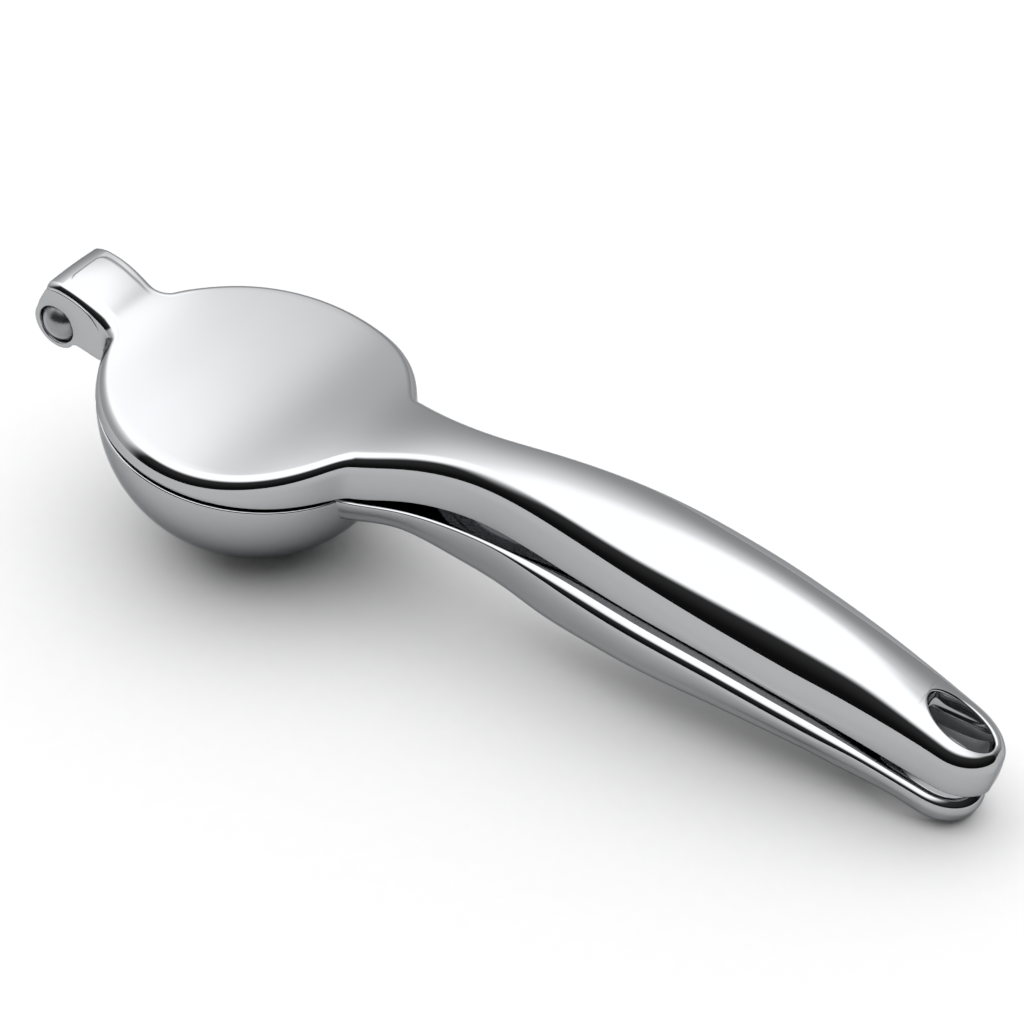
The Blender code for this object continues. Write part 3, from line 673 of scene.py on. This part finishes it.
def lower_top(x, y):
    return press_under(x) - grip_gap(x) if x > NECK_X else RIM_Z


def lower_bottom(x):
    return lower_top(x, 0.0) - lower_depth(x)


def arc(radius, start, end, count, centre=(0.0, 0.0)):
    """Points on a circle from one angle to another, in degrees from the first axis."""
    points = []
    for i in range(count + 1):
        angle = math.radians(start + (end - start) * i / count)
        points.append((centre[0] + radius * math.cos(angle), centre[1] + radius * math.sin(angle)))
    return points


def lower_edge(x, outer, inward):
    """Edge of the lower handle: a round corner, a broad bevel that lets the hand in, and a soft turn
    to the flat top. It widens from the neck to the middle of the handle."""
    wide = bevel_size(x) / 3.0
    points, inset, rise = [(0.0, 0.0)], 0.0, 0.0
    corner, bevel, turn = (5, 50, 2.3 * wide, 6), (52, 64, 3.2 * wide, 5), (66, 88, 1.6 * wide, 4)
    for start, end, length, count in (corner, bevel, turn):
        for k in range(count):
            angle = math.radians(start + (end - start) * (k + 0.5) / count)
            inset += math.sin(angle) * length / count
            rise += math.cos(angle) * length / count
            points.append((inset, rise))
    return [(a, b - rise) for a, b in points]


lower_stations = outline_stations(LOWER_START_X, LOWER_TIP_X, lower_half,
                                  (SLOT_LEFT, SLOT_RIGHT, SLOT_HALF))
bowl_arm = skin(arm_rows(lower_stations, lower_top, lower_bottom, lower_edge, LOWER_BELLY, LOWER_BULGE,
                         lower_lean, SLOT_EDGE))
start_verts = [v for v in bowl_arm.verts if abs(v.co.x - LOWER_START_X) < 1e-6]
bmesh.ops.contextual_create(bowl_arm, geom=start_verts)
bowl_arm = both_sides(bowl_arm)

# The bowl is a shell of an even wall. Its outer and inner skins are spun, and each drain is opened
# through both and joined by its own wall.
inner_radius = BOWL_RADIUS - BOWL_WALL
rim_angle = math.degrees(math.asin((RIM_Z - RIM_EDGE) / BOWL_RADIUS))
outer_line = arc(BOWL_RADIUS, rim_angle, -90.0, 44)
outer_line[-1] = (0.0, -BOWL_RADIUS)
inner_line = arc(inner_radius, -90.0, math.degrees(math.asin((RIM_Z - 0.4) / inner_radius)), 40)
inner_line[0] = (0.0, -inner_radius)
rim_line = ([(inner_radius + 0.4, RIM_Z)] + [(BOWL_RADIUS - RIM_EDGE + RIM_EDGE * math.sin(math.radians(a)),
            RIM_Z - RIM_EDGE + RIM_EDGE * math.cos(math.radians(a))) for a in (0, 25, 50, 72)])
bowl = turned(inner_line + rim_line + outer_line, BOWL_STEPS)
columns = BOWL_STEPS // DRAIN_COUNT
opened = []
for face in bowl.faces:
    middle = face.calc_center_median()
    reach = math.hypot(middle.x, middle.y)
    if DRAIN_NEAR < reach < DRAIN_FAR and middle.z < -15:
        turn = math.degrees(math.atan2(middle.y, middle.x))
        column = int(math.floor(turn / (360 / BOWL_STEPS))) % columns
        if abs(column + 0.5 - columns / 2) < DRAIN_STEPS / 2:
            opened.append(face)
bmesh.ops.delete(bowl, geom=opened, context="FACES")
open_edges = [edge for edge in bowl.edges if edge.is_boundary]
for number in range(DRAIN_COUNT):
    centre = 360 / DRAIN_COUNT * (number + 0.5)
    near = []
    for edge in open_edges:
        middle = (edge.verts[0].co + edge.verts[1].co) / 2
        away = (math.degrees(math.atan2(middle.y, middle.x)) - centre + 180) % 360 - 180
        if abs(away) < 180 / DRAIN_COUNT:
            near.append(edge)
    bmesh.ops.bridge_loops(bowl, edges=near)
bmesh.ops.recalc_face_normals(bowl, faces=bowl.faces)
for vert in bowl.verts:
    flat = ARM_FRAME @ vert.co
    if flat.z < 0:
        vert.co = ARM_FRAME.inverted() @ Vector((flat.x, flat.y, 0.0))
joined(bowl_arm, bowl)

# The tongue carries the bush between the cheeks. The shoulder joins it to the bowl, and is hollowed
# about the hinge so that the cheeks swing clear of it.
TONGUE_HALF = 5.2
TONGUE_RADIUS = 5.4
SHOULDER_RADIUS = 14.3
BUSH_SEAT = 3.1
SHOULDER_HALF = 9.2
SHOULDER_EDGE = 0.6
tongue_line = [(-33.2, -5.4), (-33.2, -3.0), (-33.2, RIM_Z), (-38.0, RIM_Z), (-42.0, RIM_Z + 0.2),
               (-43.6, 1.4)]
tongue_line += [round_place(TONGUE_RADIUS, a) for a in range(30, 271, 8)]
tongue_line += [(-47.0, -5.4), (-43.0, -5.4), (-38.0, -5.4)]
tongue_layers = []
for y, inset in ((-TONGUE_HALF, 0.35), (-TONGUE_HALF + 0.1, 0.1), (-TONGUE_HALF + 0.35, 0.0),
                 (TONGUE_HALF - 0.35, 0.0), (TONGUE_HALF - 0.1, 0.1), (TONGUE_HALF, 0.35)):
    tongue_layers.append((shrunk(tongue_line, inset), y))
tongue_layers = ([(circle_like(tongue_line, BUSH_SEAT), -TONGUE_HALF)] + tongue_layers
                 + [(circle_like(tongue_line, BUSH_SEAT), TONGUE_HALF)])
joined(bowl_arm, plate(tongue_layers))

shoulder_line = [(-33.0, -6.9), (-33.0, RIM_Z)]
shoulder_line += [round_place(SHOULDER_RADIUS, a) for a in (-1.6, -6, -12, -18, -24, -28.8)]
shoulder = bmesh.new()
shoulder_face = shoulder.faces.new([shoulder.verts.new((x, -SHOULDER_HALF, z)) for x, z in shoulder_line])
grown = bmesh.ops.extrude_face_region(shoulder, geom=[shoulder_face])["geom"]
bmesh.ops.translate(shoulder, vec=(0, 2 * SHOULDER_HALF, 0),
                    verts=[part for part in grown if isinstance(part, bmesh.types.BMVert)])
bmesh.ops.recalc_face_normals(shoulder, faces=shoulder.faces)
side_edges = [edge for edge in shoulder.edges if edge.verts[0].co.y * edge.verts[1].co.y > 0]
bmesh.ops.bevel(shoulder, geom=side_edges, offset=SHOULDER_EDGE, segments=3, profile=0.5, affect="EDGES",
                material=-1)
joined(bowl_arm, shoulder)
finished("bowl_arm_casting", bowl_arm, chrome, "bowl_side", ["bowl_arm"])


# ---------------------------------------------------------------------------------------------------
# Pressing dome: a chrome-plated zinc cup, screwed under the lid, that turns the half fruit inside out.
# Its crown is sunk, so that the head of the screw stays clear of the fruit's peel.

DOME_RADIUS = 28.0
DOME_WALL = 2.4
DOME_TOP = 0.1
SCREW_SEAT = -23.2
DOME_PAD = -20.8
DOME_SINK = 4.3              # radius of the well for the screw's head
PAD_RADIUS = 6.4
dome_inner = DOME_RADIUS - DOME_WALL
dome_profile = ([(dome_inner, DOME_TOP), (DOME_RADIUS - 0.5, DOME_TOP),
                 (DOME_RADIUS - 0.15, DOME_TOP - 0.15)]
                + arc(DOME_RADIUS, -1.0, -math.degrees(math.acos((DOME_SINK + 0.6) / DOME_RADIUS)), 40))
lip = dome_profile[-1]
dome_profile += [(DOME_SINK + 0.2, lip[1] + 0.1), (DOME_SINK, lip[1] + 0.5), (DOME_SINK, SCREW_SEAT),
                 (SCREW_BORE, SCREW_SEAT), (SCREW_BORE, DOME_PAD), (PAD_RADIUS, DOME_PAD)]
dome_profile += arc(dome_inner, -math.degrees(math.acos(PAD_RADIUS / dome_inner)), 0.0, 30)
dome_profile += [(dome_inner, DOME_TOP)]
dome = turned(dome_profile, 96)
finished("pressing_dome", dome, chrome, "press_side", ["press_dome"])


# ---------------------------------------------------------------------------------------------------
# Screw of the dome and rivet pin of the hinge: turned stainless steel with a fine grain and duller
# patches. The screw holds the dome to the boss, and the pin's two heads sit in the cheeks' pockets.

STEEL_COLOR = "96979A"
WORN_SHARE = 0.85            # colour of its duller patches, as a share of that
STEEL_ROUGH = (0.2, 0.3)
TURNING_GRAIN = 0.5          # mm
TURNING_DEPTH = 0.002        # mm
PATCH_SIZE = 5.0             # mm


def turned_steel(name, color, low, high):
    made, tree, shader, place = new_material(name)
    patch = noise(tree, place, PATCH_SIZE, 2.0)
    rough = add_node(tree, "ShaderNodeMapRange", Value=patch, From_Min=0.3, From_Max=0.7,
                     To_Min=low, To_Max=high)
    bump = add_node(tree, "ShaderNodeBump", Strength=1.0, Distance=TURNING_DEPTH * MM,
                    Height=noise(tree, place, TURNING_GRAIN, 3.0))
    tint = mixed(tree, patch, srgb(color), scaled(srgb(color), WORN_SHARE))
    tree.links.new(tint, shader.inputs["Base Color"])
    tree.links.new(rough.outputs[0], shader.inputs["Roughness"])
    tree.links.new(bump.outputs["Normal"], shader.inputs["Normal"])
    shader.inputs["Metallic"].default_value = 1.0
    return made


steel = turned_steel("turned_stainless_steel", STEEL_COLOR, *STEEL_ROUGH)
SCREW_END, HEAD_UNDER, HEAD_CROWN, SOCKET_FLOOR = -15.6, -23.5, -25.9, -24.5
SCREW_RADIUS, SCREW_HEAD, SOCKET_RADIUS = 2.0, 4.0, 1.6
screw_profile = [(0, SCREW_END), (SCREW_RADIUS - 0.4, SCREW_END), (SCREW_RADIUS, SCREW_END - 0.4),
                 (SCREW_RADIUS, HEAD_UNDER), (SCREW_HEAD, HEAD_UNDER), (SCREW_HEAD, HEAD_CROWN + 0.8),
                 (SCREW_HEAD - 0.15, HEAD_CROWN + 0.4), (SCREW_HEAD - 0.7, HEAD_CROWN),
                 (SOCKET_RADIUS + 0.15, HEAD_CROWN), (SOCKET_RADIUS, HEAD_CROWN + 0.15),
                 (SOCKET_RADIUS, SOCKET_FLOOR - 0.2), (0.0, SOCKET_FLOOR)]
finished("dome_screw_turned", turned(screw_profile, 48), steel, "press_side", ["dome_screw"])

PIN_RADIUS = 2.0
HEAD_RADIUS = 4.4
HEAD_HEIGHT = 2.9
HEAD_SEAT = 7.8
PIN_END = -15.9
CAP_SEAT = PIN_RADIUS + 0.25


def domed_head(radius, height, edge, count):
    """Outer half of a domed head, from its rim to its crown, as (radius, height) points."""
    rise = height - edge
    ball = (radius ** 2 + rise ** 2) / (2 * rise)
    spread = math.degrees(math.asin(radius / ball))
    points = [(r, h + edge) for r, h in arc(ball, 90.0 - spread, 90.0, count, (0.0, rise - ball))]
    points[-1] = (0.0, height)
    return points


head = [(HEAD_RADIUS - 0.2, 0.0), (HEAD_RADIUS, 0.2)] + domed_head(HEAD_RADIUS, HEAD_HEIGHT, 0.6, 14)
pin_line = [(0, PIN_END), (PIN_RADIUS - 0.3, PIN_END), (PIN_RADIUS, PIN_END + 0.3), (PIN_RADIUS, 0.0)]
pin = turned(pin_line + head, 64, "-Y", (HINGE_X, -HEAD_SEAT, 0.0))
finished("hinge_rivet_pin", pin, steel, "press_side", ["hinge_pin"])
cap = turned([(0, 0.6), (CAP_SEAT, 0.6), (CAP_SEAT, 0.0)] + head, 64, "+Y", (HINGE_X, HEAD_SEAT, 0.0))
finished("hinge_rivet_cap", cap, steel, "press_side", ["pin_cap"])


# ---------------------------------------------------------------------------------------------------
# Bush and two thrust washers of the hinge: turned from white acetal, faintly translucent, with a
# satin surface. They keep the two castings from rubbing through their plating.

ACETAL_COLORS = ("E9E8E2", "DEDCD4")
MOTTLE_SIZE = 2.0            # mm
WASHER_RADIUS = 4.8
WASHER_FACES = (5.5, 6.1)    # from the middle plane, between tongue and cheek
BUSH_RADIUS = 2.8

acetal, tree, shader, place = new_material("turned_white_acetal")
mottle = noise(tree, place, MOTTLE_SIZE, 3.0)
bump = add_node(tree, "ShaderNodeBump", Strength=0.4, Distance=0.01 * MM, Height=mottle)
tint = mixed(tree, mottle, srgb(ACETAL_COLORS[0]), srgb(ACETAL_COLORS[1]))
tree.links.new(tint, shader.inputs["Base Color"])
tree.links.new(bump.outputs["Normal"], shader.inputs["Normal"])
shader.inputs["Roughness"].default_value = 0.42
shader.inputs["IOR"].default_value = 1.48
shader.inputs["Subsurface Weight"].default_value = 0.15
shader.inputs["Subsurface Radius"].default_value = (0.0008, 0.0007, 0.0006)


def ring(name, node, inner, outer, low, high, bevel):
    profile = [(inner, low + bevel), (inner + bevel, low), (outer - bevel, low), (outer, low + bevel),
               (outer, high - bevel), (outer - bevel, high), (inner + bevel, high), (inner, high - bevel),
               (inner, low + bevel)]
    finished(name, turned(profile, 64, "+Y", (HINGE_X, 0, 0)), acetal, "bowl_side", [node])


near_face, far_face = WASHER_FACES
ring("hinge_bush_ring", "hinge_bush", PIN_BORE, BUSH_RADIUS, -TONGUE_HALF, TONGUE_HALF, 0.1)
ring("thrust_washer_near", "hinge_washer_near", PIN_BORE, WASHER_RADIUS, -far_face, -near_face, 0.12)
ring("thrust_washer_far", "hinge_washer_far", PIN_BORE, WASHER_RADIUS, near_face, far_face, 0.12)


# ---------------------------------------------------------------------------------------------------
# Studio: a plain pale floor, and one big soft light overhead that fades to a grey back wall and to a
# dark room on the camera's side, which is what draws the dark lines along the polished edges.

FLOOR_COLORS = ("E0E0E0", "E3E3E3")
FLOOR_SIZE = 40.0            # metres from the middle to each side
FLOOR_SINK = 0.1             # mm under the foot of the bowl, so that the two faces don't share a plane
FIBRE_SIZE = 1000 / 300      # mm
LIGHT_RADIANCE = 2.4
LIGHT_EDGE = (41.0, 57.0)    # degrees above the floor where the overhead light starts and is full
LIGHT_FADE = 1.6             # power that its edge fades with
WALL_FOOT = 0.62             # radiance low on the lit wall behind the press
WALL_RISE = (0.2, 0.88)      # sines of the heights between which that wall brightens
DARK_WAY = (0.684, -0.730, 0.0)
DARK_EDGE = (0.12, -0.15)    # how far towards DARK_WAY the dark is full, and where the wall is
DARK_FOOT, DARK_TOP = 0.010, 0.055
GLOW_WAY = (-0.9, 0.1, 0.0)  # the side where the wall is brighter
GLOW = (0.86, 1.12)

floor_bm = bmesh.new()
bmesh.ops.create_grid(floor_bm, x_segments=1, y_segments=1, size=FLOOR_SIZE,
                      matrix=Matrix.Translation((0.0, 0.0, -FLOOR_SINK * MM)))
floor_mesh = bpy.data.meshes.new("studio_floor")
floor_bm.to_mesh(floor_mesh)
floor_bm.free()
floor = bpy.data.objects.new("studio_floor", floor_mesh)
bpy.context.scene.collection.objects.link(floor)
paper, tree, shader, place = new_material("matt_white_paper")
fibre = noise(tree, place, FIBRE_SIZE, 2.0)
tint = mixed(tree, fibre, srgb(FLOOR_COLORS[0]), srgb(FLOOR_COLORS[1]))
tree.links.new(tint, shader.inputs["Base Color"])
shader.inputs["Roughness"].default_value = 0.9
shader.inputs["Specular IOR Level"].default_value = 0.0
floor_mesh.materials.append(paper)

world = bpy.data.worlds.new("studio_room")
bpy.context.scene.world = world
world.use_nodes = True
tree = world.node_tree
way = add_node(tree, "ShaderNodeTexCoord").outputs["Generated"]


def room_math(operation, a, b=0.0, c=0.0):
    return add_node(tree, "ShaderNodeMath", {"operation": operation}, i0=a, i1=b, i2=c).outputs[0]


def towards(direction):
    dot = add_node(tree, "ShaderNodeVectorMath", {"operation": "DOT_PRODUCT"}, i0=way, i1=direction)
    return dot.outputs["Value"]


def soft_step(value, low, high, start=0.0, end=1.0):
    return add_node(tree, "ShaderNodeMapRange", {"interpolation_type": "SMOOTHSTEP"}, Value=value,
                    From_Min=low, From_Max=high, To_Min=start, To_Max=end).outputs[0]


def blend(factor, first, second):
    made = add_node(tree, "ShaderNodeMix", {"data_type": "FLOAT"}, i0=factor, i2=first, i3=second)
    return made.outputs[0]


height = towards((0.0, 0.0, 1.0))
lit = soft_step(height, math.sin(math.radians(LIGHT_EDGE[0])), math.sin(math.radians(LIGHT_EDGE[1])))
lit = room_math("POWER", lit, LIGHT_FADE)
behind = soft_step(towards(DARK_WAY), *DARK_EDGE)
low_sine, high_sine = WALL_RISE
rise = add_node(tree, "ShaderNodeMapRange", Value=height, From_Min=low_sine, From_Max=high_sine).outputs[0]
wall = room_math("MULTIPLY_ADD", room_math("POWER", rise, 2.0), LIGHT_RADIANCE - WALL_FOOT, WALL_FOOT)
wall = room_math("MULTIPLY", wall, soft_step(towards(GLOW_WAY), -0.6, 0.6, *GLOW))
corner = soft_step(height, 0.15, 0.75, DARK_FOOT, DARK_TOP)
glow = blend(lit, blend(behind, corner, wall), LIGHT_RADIANCE)
background = tree.nodes["Background"]
background.inputs["Color"].default_value = (1.0, 1.0, 1.0, 1.0)
tree.links.new(glow, background.inputs["Strength"])

# Camera: three quarters from above, on the near side of the handle's tip.
CAMERA_PLACE = (0.2931, -0.34656, 0.3677)
CAMERA_LOOK = (-0.4238, 0.6501, -0.6307)
CAMERA_UP = (-0.3334, 0.5355, 0.776)
LENS = 88.975

camera_data = bpy.data.cameras.new("camera")
camera_data.lens = LENS
camera_data.sensor_width = 36.0
camera_data.clip_start = 0.01
camera_data.clip_end = 50.0
camera = bpy.data.objects.new("camera", camera_data)
bpy.context.scene.collection.objects.link(camera)
back = -Vector(CAMERA_LOOK).normalized()
side = Vector(CAMERA_UP).cross(back).normalized()
turn = Matrix((side, back.cross(side), back)).transposed().to_4x4()
camera.matrix_world = Matrix.Translation(CAMERA_PLACE) @ turn
bpy.context.scene.camera = camera
bpy.context.scene.view_settings.view_transform = "Standard"
